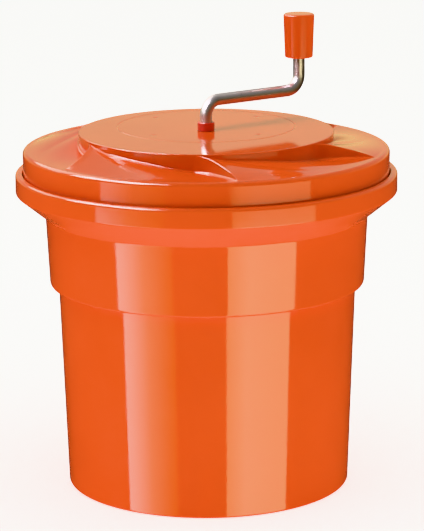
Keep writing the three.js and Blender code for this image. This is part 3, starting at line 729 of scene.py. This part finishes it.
def basketRings(s):
    # the outer surface from the hub to the rim: (radius, height, kind of the band up to the next one)
    rings = [(0.0001, s["hubTop"], "plain"), (s["hub"] - 0.002, s["hubTop"], "plain")]
    rings += [(s["hub"] - 0.0006, s["hubTop"] - 0.0006, "plain"), (s["hub"], s["hubTop"] - 0.002, "plain")]
    rings.append((s["hub"] + 0.001, s["floor"] + 0.004, "plain"))
    rings.append((s["hub"] + 0.002, s["floor"] + 0.0025, "plain"))
    rings.append((s["hub"] + 0.005, s["floor"] + s["wall"], "plain"))
    for inner, outer in s["floorRings"]:
        rings += [(inner, s["floor"] + s["wall"], "floorSlot"), (outer, s["floor"] + s["wall"], "plain")]
    corner = 0.004
    for r, z in arcPoints((s["bottom"] - s["wall"] - corner, s["floor"] + s["wall"] + corner), corner,
                          -math.pi / 2, -0.02, 5):
        rings.append((r, z, "plain"))

    def inside(z):
        return mix(s["bottom"], s["top"], (z - s["floor"]) / (s["rimFoot"] - s["floor"])) - s["wall"]

    for row in range(s["rows"]):
        low = s["rowStart"] + row * (s["rowHeight"] + s["rowGap"])
        high = low + s["rowHeight"]
        rings += [(inside(low), low, "wallSlot"), (inside(high), high, "plain")]
    rimInside = s["rim"] - s["wall"]
    rings.append((s["top"] - s["wall"], s["rimFoot"], "plain"))
    rings.append((rimInside, s["notchFoot"] - 0.0006, "plain"))
    rings.append((rimInside, s["notchFoot"], "notch"))
    rings.append((rimInside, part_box("basket")[1].z, "end"))
    return rings


def bandKey(near, far):
    # a band between two rings is known by the sum of its ends, to 0.02 mm
    grain = 5e4
    return round((near + far) * grain)


def makeBasket(s):
    rings = basketRings(s)
    bm = bmesh.new()
    verts = [bm.verts.new((r, 0, z)) for r, z, _ in rings]
    edges = [bm.edges.new(pair) for pair in zip(verts, verts[1:])]
    bmesh.ops.spin(bm, geom=verts + edges, cent=(0, 0, 0), axis=up, dvec=(0, 0, 0), angle=math.tau,
                   steps=s["steps"], use_merge=True, use_duplicate=False)
    bmesh.ops.remove_doubles(bm, verts=bm.verts[:], dist=1e-6)
    kinds = {}
    for (r, z, kind), (nextR, nextZ, _) in zip(rings, rings[1:]):
        kinds[bandKey(r, nextR), bandKey(z, nextZ)] = kind
    cuts = []
    perNotch = s["steps"] // s["notches"]
    first = round(s["notchTurn"] / 360 * s["steps"] - s["notchSteps"] / 2)
    for face in bm.faces:
        radii = [math.hypot(vert.co.x, vert.co.y) for vert in face.verts]
        heights = [vert.co.z for vert in face.verts]
        kind = kinds.get((bandKey(min(radii), max(radii)), bandKey(min(heights), max(heights))))
        centre = face.calc_center_median()
        step = int(math.degrees(math.atan2(centre.y, centre.x)) % 360 / 360 * s["steps"])
        if kind in ("wallSlot", "floorSlot") and step % s["slotEvery"] == 1:
            cuts.append(face)
        elif kind == "notch" and first <= step % perNotch < first + s["notchSteps"]:
            cuts.append(face)
    bmesh.ops.delete(bm, geom=cuts, context="FACES")
    loose = [edge for edge in bm.edges if not edge.link_faces]
    bmesh.ops.delete(bm, geom=loose, context="EDGES")
    bmesh.ops.recalc_face_normals(bm, faces=bm.faces[:])
    topFace = max(bm.faces, key=lambda face: face.calc_center_median().z)
    if topFace.normal.dot(topFace.calc_center_median()) > 0:   # the wall grows outwards from here
        bmesh.ops.reverse_faces(bm, faces=bm.faces[:])
    bmesh.ops.solidify(bm, geom=bm.faces[:], thickness=s["wall"])
    bore = s["socket"] / math.sqrt(3)
    socket = [(bore, s["hubFoot"], 0.0004), (s["hub"], s["hubFoot"], 0.0006), (s["hub"], s["floor"] + 0.002),
              (bore, s["floor"] + 0.002)]
    hub = hexed(spun(socket, 96), bore, s["socket"])
    return finishPiece("basketShell", joined(bm, hub), naturalWhite, "basket", ["basket"])


makeBasket(basketSizes)
print("basket done")


# ---- drive plate

plateSizes = {
    "thickness": 0.0025,
    "hub": 0.015,
    "lipWidth": 0.003,
    "lipHeight": 0.0015,
    "bore": 0.0126,          # across the flats
    "ribs": 12,
    "ribWidth": 0.0018,
    "ribHeight": 0.005,
    "ringAt": 0.066,
    "ringHeight": 0.003,
    "lugs": 6,
    "lugTurn": 9.0,          # degrees
    "lugWidth": 0.011,
    "lugStart": 0.1158,
    "lugLength": 0.0044,
}


def makeDrivePlate(s):
    low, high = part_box("drive_plate")
    edge = high.x
    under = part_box("basket")[1].z + 0.0003
    panel = under + s["thickness"]
    bore = s["bore"] / math.sqrt(3)
    outline = [
        (bore, under),
        (edge, under, 0.0006),
        (edge, panel + s["lipHeight"], 0.0007),
        (edge - s["lipWidth"], panel + s["lipHeight"], 0.0005),
        (edge - s["lipWidth"] - 0.001, panel, 0.0008),
        (s["hub"] + 0.001, panel, 0.0025),
        (s["hub"] - 0.0004, high.z, 0.0008),
        (bore, high.z, 0.0004),
    ]
    parts = [hexed(spun(outline, 192), bore, s["bore"])]
    ribLength = edge - s["lipWidth"] - s["hub"] + 0.001
    for k in range(s["ribs"]):
        turn = math.tau * k / s["ribs"]
        parts.append(block(ribLength, s["ribWidth"], s["ribHeight"], turn, s["hub"] - 0.0008,
                           panel - 0.0005, taper=0.38))
    ring = [(s["ringAt"], panel - 0.0005), (s["ringAt"] + s["ribWidth"], panel - 0.0005),
            (s["ringAt"] + s["ribWidth"], panel + s["ringHeight"], 0.0005),
            (s["ringAt"], panel + s["ringHeight"], 0.0005)]
    parts.append(spun(ring, 144))
    for k in range(s["lugs"]):
        turn = math.tau * k / s["lugs"] + math.radians(s["lugTurn"])
        parts.append(block(s["lugLength"], s["lugWidth"], under + 0.001 - low.z, turn, s["lugStart"], low.z))
    plate = joined(*parts)
    return finishPiece("drivePlateDisc", plate, naturalWhite, "drive", ["drive_plate"])


makeDrivePlate(plateSizes)
print("drive plate done")


# ---- gear cover and what closes it

coverSizes = {
    "thickness": 0.003,
    "boss": 0.0138,
    "bore": 0.0108,
    "wide": 0.04,            # circles wider than this are centred on the housing
    "pinBoss": 0.008,
    "pinBore": 0.0043,
    "pinRise": 0.0012,
    "ribs": 8,
    "ribHeight": 0.0016,
    "seal": 0.003,           # its width
    "screwHead": 0.004,
    "screwHeadHeight": 0.0026,
    "screwShank": 0.0019,
    "screwSocket": 0.0034,   # across the flats
    "pitch": 0.0012,
}


def makeGearCover(s):
    low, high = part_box("gear_cover")
    top = high.z - s["pinRise"]
    under = top - s["thickness"]
    radius = (high.x - low.x) / 2
    outline = [
        (s["bore"], low.z, 0.0004),
        (s["boss"], low.z, 0.0008),
        (s["boss"], under, 0.001),
        (s["wide"] + 0.001, under),
        (radius, under, 0.001),
        (radius, top, 0.0005),
        (s["wide"] + 0.001, top),
        (s["bore"], top),
    ]
    bm = spun(outline, 160)
    wide = [vert for vert in bm.verts if vert.co.xy.length > s["wide"]]
    bmesh.ops.translate(bm, verts=wide, vec=(housingAxis.x, housingAxis.y, 0))
    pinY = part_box("layshaft_pin")[0].y / 2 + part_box("layshaft_pin")[1].y / 2
    pinBoss = [(s["pinBore"], top - 0.001), (s["pinBoss"], top - 0.001), (s["pinBoss"], high.z, 0.0004),
               (s["pinBore"], high.z, 0.0002)]
    parts = [bm, spun(pinBoss, 64, (0, pinY))]
    for k in range(s["ribs"]):
        turn = math.tau * (k + 0.5) / s["ribs"]
        parts.append(block(0.036, 0.0016, s["ribHeight"] + 0.0005, turn, s["boss"] - 0.0005,
                           under - s["ribHeight"], 1, 0.0003))
    return finishPiece("gearCoverDisc", joined(*parts), naturalWhite, "lid", ["gear_cover"])


def makeSeal(s):
    low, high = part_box("gear_cover_seal")
    radius = high.x
    outline = [(radius - s["seal"], low.z, 0.0005), (radius, low.z, 0.0005), (radius, high.z, 0.0005),
               (radius - s["seal"], high.z, 0.0005)]
    bm = spun(outline, 160, (housingAxis.x, housingAxis.y), 4)
    return finishPiece("coverSeal", bm, sealRubber, "lid", ["gear_cover_seal"])


def socketScrew(low, tip, head, headHeight, shank, socket, pitch, centre):
    # its head is below, with a six-sided socket
    recess = socket / math.sqrt(3)
    depth = 0.6 * headHeight
    outline = [(0, low + depth), (recess, low + depth), (recess, low, 0.0001), (head, low, 0.25 * headHeight),
               (head, low + headHeight, 0.0002), (shank, low + headHeight), (shank, low + headHeight + 0.003)]
    outline += threaded(shank, low + headHeight + 0.003, tip - 0.0006, pitch)[1:]
    outline += [(shank * 0.7, tip), (0, tip)]
    bm = spun(outline, 48, centre, 3)
    return hexed(bm, recess, socket, centre, low - 0.001, low + depth + 0.0001)


def makeCoverScrews(s):
    for k in range(1, 5):
        low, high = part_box(f"gear_cover_screw_{k}")
        centre = ((low.x + high.x) / 2, (low.y + high.y) / 2)
        bm = socketScrew(low.z, high.z, s["screwHead"], s["screwHeadHeight"], s["screwShank"],
                         s["screwSocket"], s["pitch"], centre)
        finishPiece(f"coverScrew{k}", bm, stainless, "lid", [f"gear_cover_screw_{k}"])


def makeLayshaftPin():
    low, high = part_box("layshaft_pin")
    centre = ((low.x + high.x) / 2, (low.y + high.y) / 2)
    radius = (high.x - low.x) / 2
    outline = [(0, low.z), (radius - 0.0006, low.z), (radius, low.z + 0.0006), (radius, high.z - 0.0006),
               (radius - 0.0006, high.z), (0, high.z)]
    pin = spun(outline, 64, centre)
    return finishPiece("layshaftPin", pin, stainless, "lid", ["layshaft_pin"])


def makeOutputBush():
    low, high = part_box("output_bush")
    sizes = {"bore": 0.0083, "sleeve": 0.0105, "flange": high.x, "thickness": 0.0013}
    outline = [
        (sizes["bore"], low.z, 0.0003),
        (sizes["sleeve"], low.z, 0.0003),
        (sizes["sleeve"], high.z - sizes["thickness"]),
        (sizes["flange"], high.z - sizes["thickness"], 0.0002),
        (sizes["flange"], high.z, 0.0004),
        (sizes["bore"], high.z, 0.0003),
    ]
    return finishPiece("outputBush", spun(outline, 96), gearWhite, "lid", ["output_bush"])


fixingSizes = {
    "bore": 0.0028,
    "corner": 0.0002,
    "edgeRound": 0.0004,
    "headHeight": 0.0034,
    "shank": 0.0025,
    "socket": 0.004,         # across the flats
    "pitch": 0.0012,
}


def makePlateFixings(s):
    low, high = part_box("drive_plate_washer")
    bore, edge, corner = s["bore"], high.x, s["corner"]
    outline = [(bore, low.z, corner), (edge, low.z, s["edgeRound"]), (edge, high.z, corner),
               (bore, high.z, corner)]
    finishPiece("plateWasher", spun(outline, 96), stainless, "drive", ["drive_plate_washer"])
    low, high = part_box("drive_plate_screw")
    bm = socketScrew(low.z, high.z, high.x, s["headHeight"], s["shank"], s["socket"], s["pitch"], (0, 0))
    finishPiece("plateScrew", bm, stainless, "drive", ["drive_plate_screw"])


makeGearCover(coverSizes)
makeSeal(coverSizes)
makeCoverScrews(coverSizes)
makeLayshaftPin()
makeOutputBush()
makePlateFixings(fixingSizes)
print("gear housing done")


# ---- pivot

pivotSizes = {
    "shank": 0.004,
    "pin": 0.005,
    "collar": 0.008,
    "collarFoot": 0.0223,
    "collarTop": 0.025,
    "threadTop": 0.0095,
    "pitch": 0.0008,
    "washerBore": 0.0043,
    "nutFlats": 0.013,
    "bushFlats": 0.018,
    "bushBore": 0.0053,
    "bushFlange": 0.0125,
    "bushFlangeTop": 0.028,
}


def makePivot(s):
    low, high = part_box("pivot_pin")
    outline = [(0, low.z), (s["shank"] * 0.8, low.z)]
    outline += threaded(s["shank"], low.z + 0.0005, s["threadTop"], s["pitch"])
    outline += [(s["shank"], s["collarFoot"]), (s["collar"], s["collarFoot"], 0.0003),
                (s["collar"], s["collarTop"], 0.0005), (s["pin"], s["collarTop"], 0.0003),
                (s["pin"], high.z, 0.0018), (0, high.z)]
    finishPiece("pivotPin", spun(outline, 64), stainless, "tub", ["pivot_pin"])

    low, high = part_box("pivot_pin_washer")
    washer = [(s["washerBore"], low.z, 0.0003), (high.x, low.z, 0.0004), (high.x, high.z, 0.0004),
              (s["washerBore"], high.z, 0.0003)]
    finishPiece("pivotWasher", spun(washer, 96), sealRubber, "tub", ["pivot_pin_washer"])

    low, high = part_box("pivot_pin_nut")
    corner = s["nutFlats"] / math.sqrt(3)
    nut = [(s["washerBore"], low.z, 0.0003), (s["nutFlats"] / 2 - 0.0002, low.z), (corner, low.z + 0.0006),
           (corner, high.z - 0.0006), (s["nutFlats"] / 2 - 0.0002, high.z), (s["washerBore"], high.z, 0.0003)]
    finishPiece("pivotNut", hexed(spun(nut, 96), corner, s["nutFlats"]), stainless, "tub",
                ["pivot_pin_nut"])

    low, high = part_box("pivot_bush")
    corner = s["bushFlats"] / math.sqrt(3)
    bush = [(s["bushBore"], low.z, 0.0003), (s["bushFlange"], low.z, 0.0004),
            (s["bushFlange"], s["bushFlangeTop"], 0.0006), (corner, s["bushFlangeTop"]),
            (corner, high.z - 0.0008), (s["bushFlats"] / 2 - 0.0004, high.z), (s["bushBore"], high.z, 0.0005)]
    finishPiece("pivotBush", hexed(spun(bush, 96), corner, s["bushFlats"]), gearWhite, "pivot_bush",
                ["pivot_bush"])


makePivot(pivotSizes)
print("pivot done")


# ---- studio

studioSizes = {
    "cameraPlace": (0, -2.29365, 0.73340),
    "lens": 183.296,
    "pitch": 13.3145,
    "yaw": 0.1073,
    "roll": 0.4007,
    "floorRadius": 12,
    "floorColour": (0.80, 0.80, 0.80),
    "floorGlow": 1.3,
    "keyPlace": (-0.95, -0.45, 1.80),
    "keySize": (1.0, 0.6),
    "keyPower": 8,
    "fillPlace": (0.1, 0.1, 2.6),
    "fillSize": (1.8, 1.8),
    "fillPower": 38,
    "stripPlace": (-1.38, -0.50, 1.75),
    "stripSize": (2.0, 1.0),
    "stripPower": 280,
    "panelDistance": 1.6,
    "panelLow": -1.6,
    "panelFull": -0.24,      # the height where a panel starts to fade
    "panelHigh": 0.10,
}


def panelMaterial(name, s, *stops):
    # stops across the panel's width: (place, strength, colour)
    material = bpy.data.materials.new(name)
    material.use_nodes = True
    nodes, links = material.node_tree.nodes, material.node_tree.links
    nodes.clear()
    output = nodes.new("ShaderNodeOutputMaterial")
    emission = nodes.new("ShaderNodeEmission")
    brightest = max(strength for _, strength, _ in stops)
    fade = nodes.new("ShaderNodeMapRange")
    reach = s["panelHigh"] - s["panelLow"]
    fade.inputs["From Min"].default_value = (s["panelFull"] - s["panelLow"]) / reach
    fade.inputs["From Max"].default_value = 1
    fade.inputs["To Min"].default_value = brightest
    fade.inputs["To Max"].default_value = 0
    attribute = nodes.new("ShaderNodeUVMap")
    split = nodes.new("ShaderNodeSeparateXYZ")
    ramp = nodes.new("ShaderNodeValToRGB")
    elements = ramp.color_ramp.elements
    while len(elements) < len(stops):
        elements.new(0.5)
    for element, (place, strength, colour) in zip(elements, stops):
        element.position = place
        element.color = (*[channel * strength / brightest for channel in colour], 1)
    links.new(attribute.outputs["UV"], split.inputs["Vector"])
    links.new(split.outputs["X"], ramp.inputs["Fac"])
    links.new(split.outputs["Y"], fade.inputs["Value"])
    links.new(fade.outputs["Result"], emission.inputs["Strength"])
    links.new(ramp.outputs["Color"], emission.inputs["Color"])
    links.new(emission.outputs["Emission"], output.inputs["Surface"])
    return material


def makePanel(name, fromAzimuth, toAzimuth, material, s):
    # a curved light panel round the object; azimuth 0 is towards -Y and grows towards +X
    bm = bmesh.new()
    steps = 24
    bmesh.ops.create_grid(bm, x_segments=steps, y_segments=1, size=1)
    layer = bm.loops.layers.uv.new("UVMap")
    for face in bm.faces:
        for loop in face.loops:
            loop[layer].uv = ((loop.vert.co.x + 1) / 2, (loop.vert.co.y + 1) / 2)
    for vert in bm.verts:
        azimuth = math.radians(mix(fromAzimuth, toAzimuth, (vert.co.x + 1) / 2))
        z = mix(s["panelLow"], s["panelHigh"], (vert.co.y + 1) / 2)
        distance = s["panelDistance"]
        vert.co = (distance * math.sin(azimuth), -distance * math.cos(azimuth), z)
    mesh = bpy.data.meshes.new(name)
    bm.to_mesh(mesh)
    bm.free()
    panel = bpy.data.objects.new(name, mesh)
    bpy.context.scene.collection.objects.link(panel)
    mesh.materials.append(material)
    panel.visible_camera = False
    panel.visible_diffuse = False   # seen only in the gloss
    return panel


def makeLamp(name, place, size, power):
    light = bpy.data.lights.new(name, "AREA")
    light.shape = "RECTANGLE"
    light.size, light.size_y = size
    light.energy = power
    lamp = bpy.data.objects.new(name, light)
    towards = Vector((0, 0, 0.28)) - Vector(place)
    lamp.matrix_world = Matrix.Translation(place) @ towards.to_track_quat("-Z", "Y").to_matrix().to_4x4()
    bpy.context.scene.collection.objects.link(lamp)
    return lamp


skySizes = {
    "reach": 0.3,            # how far up and down, and front to back, the tones change
    "frontLight": 0.28,
    "backLight": 1.0,
    "tones": ((0.0, (0.05, 0.05, 0.04)), (0.42, (0.09, 0.08, 0.07)), (0.60, (0.95, 0.90, 0.45)),
              (1.0, (0.60, 0.60, 0.52))),
}


def makeSky(s):
    # dark below, pale and a little warm above, and dimmer in front than behind
    sky = bpy.data.worlds.new("studio")
    sky.use_nodes = True
    nodes, links = sky.node_tree.nodes, sky.node_tree.links
    coords = nodes.new("ShaderNodeTexCoord")
    split = nodes.new("ShaderNodeSeparateXYZ")
    height = nodes.new("ShaderNodeMapRange")
    height.inputs["From Min"].default_value = -s["reach"]
    height.inputs["From Max"].default_value = s["reach"]
    ramp = nodes.new("ShaderNodeValToRGB")
    elements = ramp.color_ramp.elements
    elements.new(0.5)
    elements.new(0.5)
    for element, (place, colour) in zip(elements, s["tones"]):
        element.position = place
        element.color = (*colour, 1)
    depth = nodes.new("ShaderNodeMapRange")
    depth.inputs["From Min"].default_value = -s["reach"]
    depth.inputs["From Max"].default_value = s["reach"]
    depth.inputs["To Min"].default_value = s["frontLight"]
    depth.inputs["To Max"].default_value = s["backLight"]
    links.new(coords.outputs["Generated"], split.inputs["Vector"])
    links.new(split.outputs["Z"], height.inputs["Value"])
    links.new(split.outputs["Y"], depth.inputs["Value"])
    links.new(height.outputs["Result"], ramp.inputs["Fac"])
    links.new(ramp.outputs["Color"], nodes["Background"].inputs["Color"])
    links.new(depth.outputs["Result"], nodes["Background"].inputs["Strength"])
    bpy.context.scene.world = sky


def makeStudio(s):
    bm = bmesh.new()
    bmesh.ops.create_circle(bm, segments=96, radius=s["floorRadius"], cap_ends=True)
    mesh = bpy.data.meshes.new("floor")
    bm.to_mesh(mesh)
    bm.free()
    floor = bpy.data.objects.new("floor", mesh)
    bpy.context.scene.collection.objects.link(floor)
    pale = bpy.data.materials.new("paleFloor")
    pale.use_nodes = True
    shader = pale.node_tree.nodes["Principled BSDF"]
    shader.inputs["Base Color"].default_value = (*s["floorColour"], 1)
    shader.inputs["Roughness"].default_value = 0.9
    shader.inputs["Emission Color"].default_value = (1, 1, 1, 1)
    shader.inputs["Emission Strength"].default_value = s["floorGlow"]
    shader.inputs["Specular IOR Level"].default_value = 0.0
    mesh.materials.append(pale)
    floor.visible_glossy = False   # the panels go on below it, as the shell's reflections do

    right = panelMaterial("rightLight", s, (0.0, 5.0, (1, 0.93, 0.42)), (0.3, 6.9, (1, 0.97, 0.56)),
                          (1.0, 5.9, (1, 0.93, 0.5)))
    makePanel("rightPanel", 14, 64, right, s)
    left = panelMaterial("leftLight", s, (0.0, 8.2, (1, 1, 0.92)), (0.14, 7.4, (1, 0.97, 0.86)),
                         (0.5, 3.8, (1, 0.9, 0.5)), (0.95, 1.3, (1, 0.8, 0.15)), (1.0, 1.1, (1, 0.8, 0.15)))
    makePanel("leftPanel", -65.5, -24, left, s)

    above = {**s, "panelLow": 0.95, "panelFull": 2.4, "panelHigh": 2.6}
    back = panelMaterial("backLight", above, (0.0, 5.0, (1, 0.95, 0.8)), (1.0, 6.0, (1, 0.97, 0.88)))
    makePanel("backPanel", -162, -108, back, above)

    makeLamp("key", s["keyPlace"], s["keySize"], s["keyPower"]).visible_glossy = False
    makeLamp("strip", s["stripPlace"], s["stripSize"], s["stripPower"]).visible_diffuse = False
    makeLamp("fill", s["fillPlace"], s["fillSize"], s["fillPower"]).visible_glossy = False
    makeSky(skySizes)
    bpy.context.scene.view_settings.view_transform = "Khronos PBR Neutral"

    camera = bpy.data.cameras.new("camera")
    camera.lens = s["lens"]
    camera.sensor_width = 36
    camera.clip_end = 60
    eye = bpy.data.objects.new("camera", camera)
    eye.matrix_world = (Matrix.Translation(s["cameraPlace"])
                        @ Matrix.Rotation(-math.radians(s["yaw"]), 4, "Z")
                        @ Matrix.Rotation(math.radians(90 - s["pitch"]), 4, "X")
                        @ Matrix.Rotation(-math.radians(s["roll"]), 4, "Z"))
    bpy.context.scene.collection.objects.link(eye)
    bpy.context.scene.camera = eye


makeStudio(studioSizes)
print("studio done")
